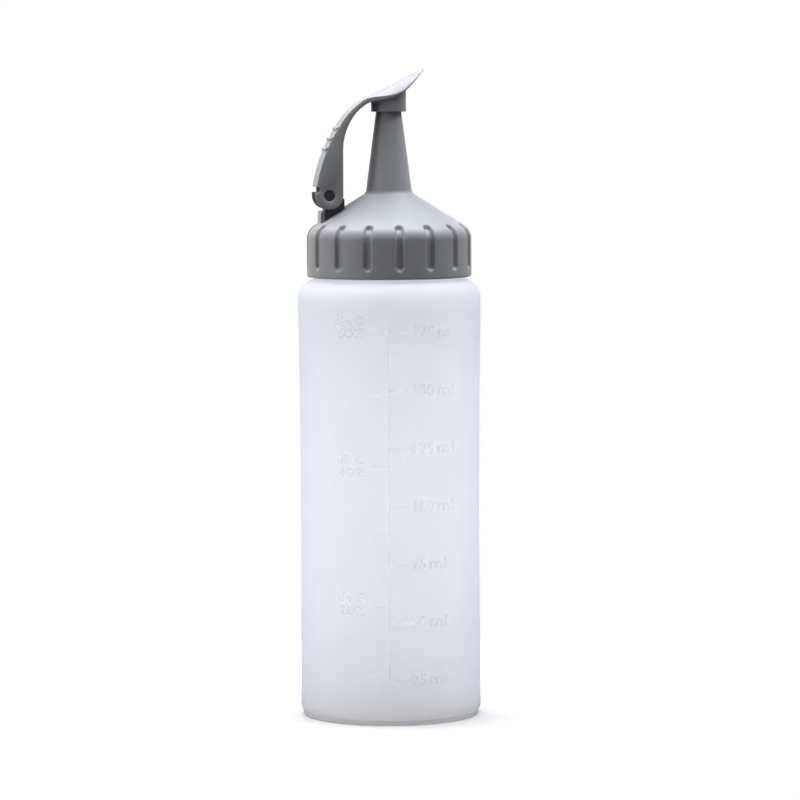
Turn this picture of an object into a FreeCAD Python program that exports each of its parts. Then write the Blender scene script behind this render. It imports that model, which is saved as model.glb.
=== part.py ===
import FreeCAD, Part
import math
import os
import re

import Sketcher

# Driving sizes, in millimetres, with slopes in degrees. Heights are above the surface the bottle stands on.
SIZES = {
    # bottle: a soft round body with a rounded shoulder, a screw neck and a pushed-up base
    "bottle_radius": "23.8",
    "bottle_wall": "1.0",
    "heel_round": "2.6",
    "heel_chords": "2",
    "standing_width": "3.4",
    "pushup_height": "1.6",
    "pushup_slope_run": "2.4",
    "shoulder_start": "109.4",
    "shoulder_round": "5.2",
    "shoulder_chords": "4",
    "neck_radius": "18.0",
    "neck_wall": "1.4",
    "neck_height": "11.0",
    # sealing ring between the neck's rim and the cap
    "seal_thickness": "1.2",
    "seal_width": "2.6",
    "seal_overhang": "0.5",
    # screw cap: skirt, rounded shoulder, cone and nozzle in one moulding
    "thread_room": "1.3",
    "cap_gap": "0.4",
    "skirt_height": "10.1",
    "skirt_radius": "21.5",
    "cap_edge_chamfer": "0.5",
    "cap_shoulder": "4.0",
    "cap_shoulder_chords": "3",
    "cone_slope": "31.8",
    "cone_wall": "1.6",
    "land_width": "3.5",
    "nozzle_root_radius": "6.05",
    "nozzle_root_round": "1.6",
    "nozzle_length": "23.1",
    "nozzle_tip_radius": "3.05",
    "nozzle_wall": "1.35",
    "tip_bevel": "1.8",
    "tip_rim": "0.4",
    "orifice_radius": "1.1",
    "orifice_length": "2.2",
    # finger flutes round the skirt
    "flute_count": "16",
    "flute_radius": "1.2",
    "flute_depth": "1.1",
    "flute_foot": "2.2",
    # hinge: pin, dark pivot block on the cone and the stop finger behind it
    "hinge_reach": "16.15",
    "hinge_rise": "21.3",
    "pin_radius": "1.37",
    "pin_recess": "0.45",
    "pin_clearance": "0.02",
    "hinge_clearance": "0.05",
    "hole_chamfer": "0.28",
    "block_head": "2.3",
    "block_front": "4.05",
    "block_back": "0.95",
    "block_front_drop": "0.9",
    "block_side_gap": "0.3",
    "seat_depth": "0.5",
    "finger_thickness": "1.3",
    "finger_width": "7.2",
    "finger_top_drop": "3.95",
    "finger_foot": "0.8",
    # flip lid: lever with two cheeks, thumb tab and nozzle collar
    "lid_width": "10.5",
    "cheek_wall": "1.2",
    "lid_skin": "1.25",
    "round_end": "3.6",
    "back_low_rise": "1.7",
    "back_low_inset": "0.15",
    "back_mid_rise": "18.05",
    "back_mid_run": "2.75",
    "back_low_bend": "40.0",
    "back_top_bend": "20.0",
    "inner_rise": "11.2",
    "inner_bend": "15.2",
    "tab_start": "6.4",
    "tab_skin": "1.5",
    "tab_tip_skin": "0.1",
    "tab_tip_droop": "0.6",
    "tab_reach": "9.1",
    "ridge_rise": "4.8",
    "ridge_slope": "26.75",
    "crown_start_radius": "92.0",
    "crown_radius": "6.6",
    "crown_full_reach": "1.0",
    "crown_chords": "6",
    "notch_low_rise": "0.85",
    "notch_height": "1.45",
    "notch_depth": "1.0",
    "collar_radius": "4.58",
    "collar_bore": "3.95",
    "grip_count": "3",
    "grip_first_rise": "12.0",
    "grip_pitch": "2.65",
    "grip_round": "0.6",
    "grip_proud": "0.45",
    "grip_inset": "0.6",
    # how far every cut runs past the material
    "overrun": "2.0",
}

# Places worked out from the sizes. Reaches are distances from the bottle's axis, tops are heights.
PLACES = {
    "inner_radius": "bottle_radius - bottle_wall",
    "heel_reach": "bottle_radius - heel_round",
    "standing_reach": "heel_reach - standing_width",
    "pushup_reach": "standing_reach - pushup_slope_run",
    "shoulder_reach": "bottle_radius - shoulder_round",
    "shoulder_top": "shoulder_start + shoulder_round",
    "neck_bore": "neck_radius - neck_wall",
    "neck_top": "shoulder_top + neck_height",
    "seal_reach": "neck_radius + seal_overhang",
    "land_top": "neck_top + seal_thickness",
    "cap_bottom": "shoulder_top + cap_gap",
    "cap_bore": "neck_radius + thread_room",
    "land_reach": "cap_bore - land_width",
    "skirt_top": "cap_bottom + skirt_height",
    "cap_shoulder_reach": "skirt_radius - cap_shoulder",
    "cone_low_reach": "cap_shoulder_reach + cap_shoulder * sin(cone_slope)",
    "cone_low_top": "skirt_top + cap_shoulder * cos(cone_slope)",
    "cone_fall": "tan(cone_slope)",
    "cone_inner_drop": "cone_wall / cos(cone_slope)",
    "nozzle_root_top": "cone_low_top + (cone_low_reach - nozzle_root_radius) * cone_fall",
    "nozzle_tip_top": "nozzle_root_top + nozzle_length",
    "nozzle_lean": "atan((nozzle_root_radius - nozzle_tip_radius) / nozzle_length) / 1deg",
    "root_tangent": "nozzle_root_round * tan((90 - cone_slope - nozzle_lean) / 2)",
    "bevel_top": "nozzle_tip_top - tip_bevel",
    "bevel_reach": "nozzle_tip_radius + tip_bevel * tan(nozzle_lean)",
    "bore_root": "nozzle_root_radius - nozzle_wall",
    "bore_root_top": "cone_low_top + (cone_low_reach - bore_root) * cone_fall - cone_inner_drop",
    "land_cone_top": "cone_low_top + (cone_low_reach - land_reach) * cone_fall - cone_inner_drop",
    "flute_reach": "skirt_radius + flute_radius - flute_depth",
    "flute_low": "cap_bottom + flute_foot",
    "hinge_top": "cap_bottom + hinge_rise",
    "block_front_reach": "hinge_reach - block_front",
    "block_back_reach": "hinge_reach + block_back",
    "block_width": "lid_width - 2 * cheek_wall - 2 * block_side_gap",
    "seat_drop": "seat_depth / cos(cone_slope)",
    "seat_front_top": "cone_low_top + (cone_low_reach - block_front_reach) * cone_fall - seat_drop",
    "seat_back_top": "cone_low_top + (cone_low_reach - block_back_reach) * cone_fall - seat_drop",
    "finger_back_reach": "block_back_reach + finger_thickness",
    "finger_top": "hinge_top - finger_top_drop",
    "finger_low": "land_top + finger_foot",
    "lid_half": "lid_width / 2",
    "ridge_lift": "tan(ridge_slope)",
    "ridge_top": "nozzle_tip_top + ridge_rise",
    "tab_start_top": "ridge_top - tab_start * ridge_lift",
    "inner_reach": "hinge_reach - round_end",
    "inner_top": "hinge_top + inner_rise",
    "back_low_reach": "hinge_reach + round_end - back_low_inset",
    "back_low_top": "hinge_top + back_low_rise",
    "back_mid_reach": "hinge_reach - back_mid_run",
    "back_mid_top": "hinge_top + back_mid_rise",
    "back_chord_run": "back_low_reach - back_mid_reach",
    "back_chord_rise": "back_mid_top - back_low_top",
    "back_chord": "sqrt(back_chord_run^2 + back_chord_rise^2)",
    "back_turn": "asin(back_chord / (2 * back_low_bend)) / 1deg",
    "back_lean": "atan(back_chord_run / back_chord_rise) / 1deg",
    "back_low_lean": "back_lean - back_turn",
    "back_mid_lean": "back_lean + back_turn",
    "back_centre_reach": "back_low_reach - back_low_bend * cos(back_low_lean)",
    "back_centre_top": "back_low_top - back_low_bend * sin(back_low_lean)",
    "sky_top": "ridge_top + (tab_reach + overrun) * ridge_lift + 2 * overrun",
    "collar_low": "bevel_top",
    "notch_low": "hinge_top + notch_low_rise",
    "notch_high": "notch_low + notch_height",
    "notch_floor_reach": "back_low_reach - notch_depth",
    "grip_bend": "back_low_bend - grip_round + grip_proud",
}

doc = FreeCAD.newDocument("squeeze_bottle")
sheet = doc.addObject("Spreadsheet::Sheet", "size")
for row, (name, number) in enumerate(SIZES.items(), 1):
    sheet.set(f"A{row}", name)
    sheet.set(f"B{row}", number)
    sheet.setAlias(f"B{row}", name)
doc.recompute()


def bound(text):
    """Spell out the worked-out places in an expression, down to the cells of the sheet."""
    def spell(match):
        word = match.group(0)
        if word in PLACES:
            return "(" + bound(PLACES[word]) + ")"
        return "size." + word if word in SIZES else word
    return re.sub(r"[a-z_]+", spell, text)


def value(text):
    return float(sheet.evalExpression(bound(text)))


def sketch_on(body, name, role, offset=None):
    """An empty sketch on one of the body's own planes, moved along its normal by a bound offset."""
    sketch = body.newObject("Sketcher::SketchObject", name)
    plane = next(item for item in body.Origin.OriginFeatures if item.Role == role)
    sketch.AttachmentSupport = [(plane, "")]
    sketch.MapMode = "FlatFace"
    if offset:
        sketch.setExpression("AttachmentOffset.Base.z", bound(offset))
    return sketch


def bind_datum(sketch, kind, *parts, text):
    """Add a dimension and bind it to its expression."""
    index = sketch.addConstraint(Sketcher.Constraint(kind, *parts, value(text)))
    sketch.setExpression(f"Constraints[{index}]", bound(text))


def bind_point(sketch, geometry, end, across, up):
    """Hold one end of an edge at its place from the sketch's origin."""
    for kind, axis, text in (("DistanceX", -2, across), ("DistanceY", -1, up)):
        place = value(text)
        if abs(place) < Part.Precision.confusion():
            sketch.addConstraint(Sketcher.Constraint("PointOnObject", geometry, end, axis))
        elif place > 0:
            bind_datum(sketch, kind, -1, 1, geometry, end, text=text)
        else:
            bind_datum(sketch, kind, geometry, end, -1, 1, text=f"-({text})")


def arc_between(start, end, radius, turn):
    """The short arc from start to end whose centre lies to the left or right of the way there."""
    chord = end - start
    across = FreeCAD.Vector(-chord.y, chord.x, 0).normalize()
    depth = math.sqrt(radius ** 2 - (chord.Length / 2) ** 2)
    centre = (start + end) / 2 + across * (depth if turn == "left" else -depth)
    first, last = (start, end) if turn == "left" else (end, start)
    angles = [math.atan2(point.y - centre.y, point.x - centre.x) for point in (first, last)]
    return Part.ArcOfCircle(Part.Circle(centre, FreeCAD.Vector(0, 0, 1), radius), *angles)


def draw(sketch, *points, closed=True):
    """Draw edges from point to point. A point is (across, up), or (across, up, radius, turn) where the edge
    that leads to it is an arc."""
    places = [FreeCAD.Vector(value(point[0]), value(point[1]), 0) for point in points]
    steps = range(len(points)) if closed else range(1, len(points))
    joints = []
    for step in steps:
        start, end, point = places[step - 1], places[step], points[step]
        if len(point) == 2:
            edge = sketch.addGeometry(Part.LineSegment(start, end))
            ends = (1, 2)
        else:
            radius, turn = point[2:]
            edge = sketch.addGeometry(arc_between(start, end, value(radius), turn))
            ends = (1, 2) if turn == "left" else (2, 1)
            bind_datum(sketch, "Radius", edge, text=radius)
        joints.append((edge, *ends))
        bind_point(sketch, edge, ends[1], *point[:2])
    if not closed:
        bind_point(sketch, joints[0][0], joints[0][1], *points[0][:2])
    for before, after in zip(joints, joints[1:] + joints[:1] if closed else joints[1:]):
        sketch.addConstraint(Sketcher.Constraint("Coincident", before[0], before[2], after[0], after[1]))


def chords(across, up, radius, first, last, count):
    """Points of a round stretch about a centre, from its first to its last direction, as a number of chords."""
    steps = int(value(count))
    turns = [f"(({first}) + (({last}) - ({first})) * {step} / {steps})" for step in range(steps + 1)]
    return [(f"{across} + {radius} * cos({turn})", f"{up} + {radius} * sin({turn})") for turn in turns]


def ring(sketch, across, up, radius):
    """Draw a whole circle."""
    centre = FreeCAD.Vector(value(across), value(up), 0)
    edge = sketch.addGeometry(Part.Circle(centre, FreeCAD.Vector(0, 0, 1), value(radius)))
    bind_datum(sketch, "Radius", edge, text=radius)
    bind_point(sketch, edge, 3, across, up)


def piece(name):
    """A new body, labelled with the piece's name."""
    body = doc.addObject("PartDesign::Body", name)
    body.Label = name
    return body


def revolve(body, sketch):
    turned = body.newObject("PartDesign::Revolution", sketch.Name + "_turned")
    turned.Profile = sketch
    turned.ReferenceAxis = (sketch, ["V_Axis"])
    turned.Angle = 360
    doc.recompute()
    return turned


def pad(body, sketch, length, symmetric=True):
    raised = body.newObject("PartDesign::Pad", sketch.Name + "_raised")
    raised.Profile = sketch
    raised.SideType = "Symmetric" if symmetric else "One side"
    raised.setExpression("Length", bound(length))
    doc.recompute()
    return raised


def pocket(body, sketch, length):
    """Cut the sketch's outline out of the body, evenly to both sides of the sketch."""
    before = body.Shape.Volume
    cut = body.newObject("PartDesign::Pocket", sketch.Name + "_cut")
    cut.Profile = sketch
    cut.SideType = "Symmetric"
    cut.setExpression("Length", bound(length))
    doc.recompute()
    assert body.Shape.Volume < before, f"{cut.Name} cuts nothing"
    return cut


def loft(body, kind, name, sections):
    joined = body.newObject("PartDesign::" + kind, name)
    joined.Profile = sections[0]
    joined.Sections = sections[1:]
    joined.Ruled = True
    doc.recompute()


def make_bottle():
    body = piece("bottle")
    wall = sketch_on(body, "bottle_wall_section", "XZ_Plane")
    draw(
        wall,
        ("0", "pushup_height"),
        ("pushup_reach", "pushup_height"),
        ("standing_reach", "0"),
        *chords("heel_reach", "heel_round", "heel_round", "-90", "0", "heel_chords"),
        *chords("shoulder_reach", "shoulder_start", "shoulder_round", "0", "90", "shoulder_chords"),
        ("neck_radius", "shoulder_top"),
        ("neck_radius", "neck_top"),
        ("neck_bore", "neck_top"),
        ("neck_bore", "shoulder_top - bottle_wall"),
        ("shoulder_reach", "shoulder_top - bottle_wall"),
        ("inner_radius", "shoulder_start"),
        ("inner_radius", "heel_round"),
        ("heel_reach", "bottle_wall"),
        ("standing_reach", "bottle_wall"),
        ("pushup_reach", "pushup_height + bottle_wall"),
        ("0", "pushup_height + bottle_wall"),
    )
    revolve(body, wall)
    return body


def make_seal():
    body = piece("cap_seal")
    section = sketch_on(body, "seal_section", "XY_Plane", "neck_top")
    ring(section, "0", "0", "seal_reach")
    ring(section, "0", "0", "seal_reach - seal_width")
    pad(body, section, "seal_thickness", symmetric=False)
    return body


def cut_flutes(body):
    """Round flutes up the skirt that run out over the rounded shoulder."""
    end = sketch_on(body, "flute_end", "XY_Plane", "(flute_low + cone_low_top) / 2")
    ring(end, "flute_reach", "0", "flute_radius")
    cut = pocket(body, end, "cone_low_top - flute_low")
    before = body.Shape.Volume
    pattern = body.newObject("PartDesign::PolarPattern", "flutes")
    pattern.Originals = [cut]
    axis = next(item for item in body.Origin.OriginFeatures if item.Role == "Z_Axis")
    pattern.Axis = (axis, [""])
    pattern.Angle = 360
    pattern.setExpression("Occurrences", bound("flute_count"))
    body.Tip = pattern
    doc.recompute()
    assert body.Shape.Volume < before, "the pattern repeats no flute"


def make_cap():
    body = piece("screw_cap")
    section = sketch_on(body, "cap_section", "XZ_Plane")
    draw(
        section,
        ("cap_bore", "cap_bottom"),
        ("skirt_radius - cap_edge_chamfer", "cap_bottom"),
        ("skirt_radius", "cap_bottom + cap_edge_chamfer"),
        *chords("cap_shoulder_reach", "skirt_top", "cap_shoulder", "0", "90 - cone_slope", "cap_shoulder_chords"),
        ("nozzle_root_radius + root_tangent * cos(cone_slope)", "nozzle_root_top - root_tangent * sin(cone_slope)"),
        ("nozzle_root_radius - root_tangent * sin(nozzle_lean)", "nozzle_root_top + root_tangent * cos(nozzle_lean)"),
        ("bevel_reach", "bevel_top"),
        ("orifice_radius + tip_rim", "nozzle_tip_top"),
        ("orifice_radius", "nozzle_tip_top"),
        ("orifice_radius", "nozzle_tip_top - orifice_length"),
        ("bore_root", "bore_root_top"),
        ("land_reach", "land_cone_top"),
        ("land_reach", "land_top"),
        ("cap_bore", "land_top"),
    )
    revolve(body, section)
    cut_flutes(body)
    seat = sketch_on(body, "block_seat", "XZ_Plane")
    draw(
        seat,
        ("-block_back_reach", "seat_back_top"),
        ("-block_front_reach", "seat_front_top"),
        ("-block_front_reach", "hinge_top"),
        ("-block_back_reach", "hinge_top"),
    )
    pocket(body, seat, "block_width")
    finger = sketch_on(body, "stop_finger", "XZ_Plane")
    draw(
        finger,
        ("-finger_back_reach", "finger_low"),
        ("-block_back_reach", "finger_low"),
        ("-block_back_reach", "finger_top - finger_thickness / 2"),
        ("-(block_back_reach + finger_thickness / 2)", "finger_top", "finger_thickness / 2", "left"),
        ("-finger_back_reach", "finger_top - finger_thickness / 2", "finger_thickness / 2", "left"),
    )
    pad(body, finger, "finger_width")
    return body


def make_hinge_block():
    body = piece("hinge_block")
    side = sketch_on(body, "block_side", "XZ_Plane")
    draw(
        side,
        ("-block_back_reach", "seat_back_top"),
        ("-block_front_reach", "seat_front_top"),
        ("-block_front_reach", "hinge_top - block_front_drop"),
        ("-(hinge_reach - block_head)", "hinge_top"),
        ("-hinge_reach", "hinge_top + block_head", "block_head", "left"),
        ("-(hinge_reach + block_head)", "hinge_top", "block_head", "left"),
        ("-block_back_reach", "hinge_top - sqrt(block_head^2 - block_back^2)", "block_head", "left"),
    )
    pad(body, side, "block_width")
    hole = sketch_on(body, "block_pin_hole", "XZ_Plane")
    ring(hole, "-hinge_reach", "hinge_top", "pin_radius + pin_clearance")
    pocket(body, hole, "block_width + overrun")
    return body


def make_hinge_pin():
    body = piece("hinge_pin")
    end = sketch_on(body, "pin_end", "XZ_Plane")
    ring(end, "-hinge_reach", "hinge_top", "pin_radius")
    pad(body, end, "lid_width - 2 * pin_recess")
    return body


def crown_arc(reach, crown, drop, first, last):
    """Points across the thumb tab at one reach, on the crown's round or a drop below it, from side to side."""
    centre = f"ridge_top + ({reach}) * ridge_lift - {drop} - {crown}"
    side = f"asin(lid_half / {crown}) / 1deg"
    return chords("0", centre, crown, f"90 {first} {side}", f"90 {last} {side}", "crown_chords")


def tab_section(body, name, reach, crown, skin, droop):
    """The tab's curved skin at one reach."""
    section = sketch_on(body, f"tab_{name}", "YZ_Plane", reach)
    draw(
        section,
        *crown_arc(reach, crown, f"({droop} + {skin})", "+", "-"),
        *crown_arc(reach, crown, droop, "-", "+"),
    )
    return section


def sky_section(body, name, reach, crown, skin, droop):
    """The space above the tab at one reach."""
    section = sketch_on(body, f"above_{name}", "YZ_Plane", reach)
    draw(section, *crown_arc(reach, crown, droop, "+", "-"), ("lid_half", "sky_top"), ("-lid_half", "sky_top"))
    return section


def make_tab_and_collar(body):
    stations = (
        ("start", "-tab_start", "crown_start_radius", "tab_skin", "0"),
        ("full", "crown_full_reach", "crown_radius", "tab_skin", "0"),
        ("end", "tab_reach + overrun", "crown_radius", "tab_tip_skin", "tab_tip_droop"),
    )
    loft(body, "AdditiveLoft", "tab_skin", [tab_section(body, *station) for station in stations])
    collar = sketch_on(body, "collar_ring", "XY_Plane", "collar_low")
    ring(collar, "0", "0", "collar_radius")
    pad(body, collar, "sky_top - collar_low", symmetric=False)
    loft(body, "SubtractiveLoft", "above_tab", [sky_section(body, *station) for station in stations])
    rounded = sketch_on(body, "tab_round_end", "XY_Plane")
    draw(
        rounded,
        ("tab_reach - lid_half", "-lid_half"),
        ("tab_reach", "0", "lid_half", "left"),
        ("tab_reach - lid_half", "lid_half", "lid_half", "left"),
        ("tab_reach - lid_half", "lid_half + overrun"),
        ("tab_reach + 2 * overrun", "lid_half + overrun"),
        ("tab_reach + 2 * overrun", "-(lid_half + overrun)"),
        ("tab_reach - lid_half", "-(lid_half + overrun)"),
    )
    pocket(body, rounded, "2 * sky_top")
    bore = sketch_on(body, "collar_hollow", "XZ_Plane")
    draw(bore, ("0", "collar_low - overrun"), ("collar_bore", "collar_low - overrun"),
         ("collar_bore", "nozzle_tip_top"), ("0", "nozzle_tip_top"))
    hollow = body.newObject("PartDesign::Groove", "collar_hollow_cut")
    hollow.Profile = bore
    hollow.ReferenceAxis = (bore, ["V_Axis"])
    hollow.Angle = 360
    doc.recompute()


def make_lever(body):
    side = sketch_on(body, "lever_side", "XZ_Plane")
    draw(
        side,
        ("-inner_reach", "hinge_top", "round_end", "left"),
        ("-inner_reach", "inner_top"),
        ("-tab_start", "tab_start_top - tab_skin", "inner_bend", "right"),
        ("-tab_start", "tab_start_top"),
        ("-back_mid_reach", "back_mid_top", "back_top_bend", "left"),
        ("-back_low_reach", "back_low_top", "back_low_bend", "left"),
        ("-(hinge_reach + round_end)", "hinge_top"),
        ("-hinge_reach", "hinge_top - round_end", "round_end", "left"),
    )
    pad(body, side, "lid_width")
    channel = sketch_on(body, "lever_channel", "XZ_Plane")
    draw(
        channel,
        ("-(hinge_reach + round_end + overrun)", "hinge_top - round_end - overrun"),
        ("-inner_reach + overrun", "hinge_top - round_end - overrun"),
        ("-inner_reach + overrun", "inner_top"),
        ("-tab_start", "tab_start_top - tab_skin"),
        (
            "-back_mid_reach + lid_skin * cos(back_mid_lean)",
            "back_mid_top - lid_skin * sin(back_mid_lean)",
            "back_top_bend - lid_skin",
            "left",
        ),
        (
            "-back_low_reach + lid_skin * cos(back_low_lean)",
            "back_low_top - lid_skin * sin(back_low_lean)",
            "back_low_bend - lid_skin",
            "left",
        ),
        ("-(hinge_reach + round_end + overrun)", "back_low_top - lid_skin * sin(back_low_lean)"),
    )
    pocket(body, channel, "lid_width - 2 * cheek_wall")


def make_lid():
    body = piece("flip_lid")
    make_tab_and_collar(body)
    make_lever(body)
    notch = sketch_on(body, "back_notch", "XZ_Plane")
    draw(
        notch,
        ("-(back_low_reach + overrun)", "notch_low"),
        ("-notch_floor_reach", "notch_low"),
        ("-notch_floor_reach", "notch_high"),
        ("-(back_low_reach + overrun)", "notch_high"),
    )
    pocket(body, notch, "lid_width + overrun")
    grips = sketch_on(body, "grip_ridges", "XZ_Plane")
    for number in range(int(value("grip_count"))):
        top = f"hinge_top + grip_first_rise + {number} * grip_pitch"
        reach = f"back_centre_reach + sqrt(grip_bend^2 - ({top} - back_centre_top)^2)"
        ring(grips, f"-({reach})", top, "grip_round")
    pad(body, grips, "lid_width - 2 * grip_inset")
    hole = sketch_on(body, "lid_pin_hole", "XZ_Plane")
    ring(hole, "-hinge_reach", "hinge_top", "pin_radius + hinge_clearance")
    drilled = pocket(body, hole, "lid_width + overrun")
    rims = [
        f"Edge{number}"
        for number, edge in enumerate(drilled.Shape.Edges, 1)
        if isinstance(edge.Curve, Part.Circle)
        and abs(edge.Curve.Radius - value("pin_radius + hinge_clearance")) < Part.Precision.approximation()
        and abs(abs(edge.CenterOfMass.y) - value("lid_half")) < Part.Precision.approximation()
    ]
    chamfer = body.newObject("PartDesign::Chamfer", "lid_hole_chamfer")
    chamfer.Base = (drilled, rims)
    chamfer.setExpression("Size", bound("hole_chamfer"))
    doc.recompute()
    return body


pieces = [make_bottle(), make_seal(), make_cap(), make_hinge_block(), make_hinge_pin(), make_lid()]
doc.recompute()

for item in doc.Objects:
    if {"Invalid", "Error"} & set(item.State):
        raise RuntimeError(f"{item.Name} did not build: {item.State}")
for body in pieces:
    if body.Shape.isNull() or not body.Shape.isValid() or len(body.Shape.Solids) != 1:
        raise RuntimeError(f"{body.Label} is not one valid solid")

os.makedirs("parts", exist_ok=True)
for body in pieces:
    body.Shape.exportStep(f"parts/{body.Label}.step")
    box = body.Shape.BoundBox
    print(f"{body.Label}: volume {body.Shape.Volume:.1f}, x {box.XMin:.2f} to {box.XMax:.2f}, "
          f"y {box.YMin:.2f} to {box.YMax:.2f}, z {box.ZMin:.2f} to {box.ZMax:.2f}")
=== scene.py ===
import math

import bmesh
import bpy
from mathutils import Matrix, Vector


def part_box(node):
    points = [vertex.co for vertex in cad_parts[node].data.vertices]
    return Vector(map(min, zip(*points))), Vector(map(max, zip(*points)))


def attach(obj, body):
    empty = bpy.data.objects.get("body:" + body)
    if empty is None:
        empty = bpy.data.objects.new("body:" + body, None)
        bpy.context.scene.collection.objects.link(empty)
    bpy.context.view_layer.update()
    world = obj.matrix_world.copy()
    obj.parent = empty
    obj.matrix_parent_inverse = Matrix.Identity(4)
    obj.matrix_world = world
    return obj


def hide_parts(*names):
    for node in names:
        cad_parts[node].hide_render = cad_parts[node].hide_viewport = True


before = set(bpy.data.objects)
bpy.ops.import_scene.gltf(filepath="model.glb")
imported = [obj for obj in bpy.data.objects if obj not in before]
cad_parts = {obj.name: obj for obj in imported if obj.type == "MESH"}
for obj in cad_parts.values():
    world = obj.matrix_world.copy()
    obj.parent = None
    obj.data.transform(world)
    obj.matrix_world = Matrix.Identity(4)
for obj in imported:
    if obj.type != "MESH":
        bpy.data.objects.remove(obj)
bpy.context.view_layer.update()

MM = 0.001
FULL_TURN = 2 * math.pi
SAME_POINT = 0.001
FLAT_ANGLE = math.radians(0.6)

# Places read from the frame, in millimetres
_, bottle_high = (Vector(corner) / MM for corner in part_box("bottle"))
cap_low, cap_high = (Vector(corner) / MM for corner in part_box("screw_cap"))
_, seal_high = (Vector(corner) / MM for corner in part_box("cap_seal"))
pin_low, pin_high = (Vector(corner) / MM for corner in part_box("hinge_pin"))
_, lid_high = (Vector(corner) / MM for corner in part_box("flip_lid"))
HINGE = (pin_low + pin_high) / 2

# Bottle
BODY_RADIUS = bottle_high.x
WALL = 1.0
HEEL_UP = 2.1
HEEL_ROUND = 2.3
FOOT_STEP = 0.7
FOOT_GROOVE = 0.12
FOOT_HEIGHT = 1.2
FOOT_ROUND = 0.6
STANDING_RADIUS = 17.8
PUSHUP_HEIGHT = 1.6
PUSHUP_RUN = 2.4
PUSHUP_ROUND = 1.5
STANDING_ROUND = 0.8
GROOVE_ROUND = 0.2
INNER_HEEL_ROUND = 1.6
INNER_PUSHUP_ROUND = 1.2
SHOULDER_ROUND = 5.2
SEAL_PROUD = 0.5
NECK_RADIUS = seal_high.x - SEAL_PROUD
NECK_WALL = 1.4
NECK_TOP = bottle_high.z
NECK_HEIGHT = 11.0
NECK_ROOT_ROUND = 0.5
RIM_ROUND = 0.4
NECK_BORE_ROUND = 1.2
SHOULDER_TOP = NECK_TOP - NECK_HEIGHT
SHOULDER_START = SHOULDER_TOP - SHOULDER_ROUND
WAIST_SAG = 0.4
WAIST_LEAN = 0.12
WAIST_ROWS = 16
BODY_STEPS = 160

# Screw cap
SKIRT_RADIUS = cap_high.x
CAP_BOTTOM = cap_low.z
TIP_TOP = cap_high.z
THREAD_ROOM = 1.3
BORE_RADIUS = NECK_RADIUS + THREAD_ROOM
LAND_TOP = seal_high.z
LAND_WIDTH = 3.5
LAND_REACH = BORE_RADIUS - LAND_WIDTH
LAND_ROUND = 0.4
LAND_EDGE = 0.2
SKIRT_HEIGHT = 10.1
SKIRT_TOP = CAP_BOTTOM + SKIRT_HEIGHT
SKIRT_EDGE = 0.55
CAP_SHOULDER = 4.0
CONE_SLOPE = math.radians(31.8)
CONE_WALL = 1.6
CONE_BORE_ROUND = 0.6
FLUTED_REACH = 17.0
FLUTED_STEP = 0.36
NOZZLE_ROOT_RADIUS = 6.05
NOZZLE_ROOT_ROUND = 1.6
NOZZLE_LENGTH = 23.1
NOZZLE_TIP_RADIUS = 3.05
NOZZLE_WALL = 1.35
TIP_BEVEL = 1.8
TIP_RIM = 0.4
TIP_ROUND = 0.2
TIP_BEVEL_ROUND = 0.4
ORIFICE_RADIUS = 1.1
ORIFICE_LENGTH = 2.2
CAP_STEPS = 640
FLUTE_COUNT = 16
FLUTE_DEPTH = 1.0
FLUTE_FLOOR = 0.55
FLUTE_HALF_WIDTH = 1.2
FLUTE_LOW = 117.2
FLUTE_HIGH = 130.0
FLUTE_BORE_SKIN = 0.4
FLUTE_LAND_SKIN = 0.8
FLUTE_LAND_RISE = 0.6

# Thread of neck and cap
THREAD_PITCH = 4.2
THREAD_TURNS = 1.75
THREAD_STEPS = 120
NECK_THREAD_PROUD = 0.95
CAP_THREAD_PROUD = 0.9
THREAD_FOOT = 1.5
THREAD_CREST = 0.7
THREAD_START = SHOULDER_TOP + 2.6
THREAD_SINK = 0.2

# Stop finger behind the hinge
FINGER_THICKNESS = 1.3
FINGER_WIDTH = 7.2
FINGER_TOP = HINGE.z - 3.95
FINGER_LOW = LAND_TOP + 0.8
FINGER_FRONT = HINGE.x - 0.95
FINGER_TOP_ROUND = 0.42 * FINGER_THICKNESS
FINGER_EDGE = 0.15

# Flip lid, its places measured from the hinge or the nozzle's tip
LID_HALF = lid_high.y
CHEEK_WALL = 1.2
CHEEK_EDGE = 0.22
CHEEK_EDGE_SHARES = ((0.3, 0.7), (0.7, 0.3))
ROUND_END = 3.6
PIN_HOLE = 1.42
BACK_LOW = HINGE + Vector((-3.45, 0, 1.7))
BACK_MID = HINGE + Vector((2.75, 0, 18.05))
BACK_LOW_BEND = 40.0
BACK_TOP_BEND = 20.0
INNER_RISE = 11.2
INNER_BEND = 15.2
NOTCH_LOW = HINGE.z + 0.85
NOTCH_HIGH = NOTCH_LOW + 1.45
NOTCH_DEPTH = 1.0
RIDGE_TOP = TIP_TOP + 4.8
RIDGE_LIFT = math.tan(math.radians(26.75))
TAB_START = -6.4
TAB_TAPER = 3.3
TAB_REACH = lid_high.x
TAB_TIP_HALF = 0.35
TAB_SAG = 2.9
TAB_DROOP = 0.5
SAG_START = -7.5
SAG_FULL = 2.5
LEVER_SKIN = 1.3
TAB_SKIN = 0.5
TIP_SKIN = 0.3
SKIN_EDGE = 0.12
SKIN_INSET = 0.06
COLLAR_RADIUS = 4.58
COLLAR_BORE = 3.95
COLLAR_LOW = TIP_TOP - 2.0
GRIP_RISES = (12.0, 14.65, 17.3)
GRIP_RADIUS = 0.6
GRIP_PROUD = 0.45
GRIP_INSET = 0.6
GRIP_EDGE = 0.2
GRIP_STEPS = 24
BACK_LOW_STEPS, BACK_TOP_STEPS = 16, 12
RIDGE_STEPS, TIP_STEPS = 14, 12
SKIN_COLUMNS = 18
CHEEK_TUCK = Vector((0.2, -0.1))
CHEEK_UNDER = 0.8
INNER_STEPS = 14
ROUND_STEPS = 20
HOLE_STEPS = 40
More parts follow.
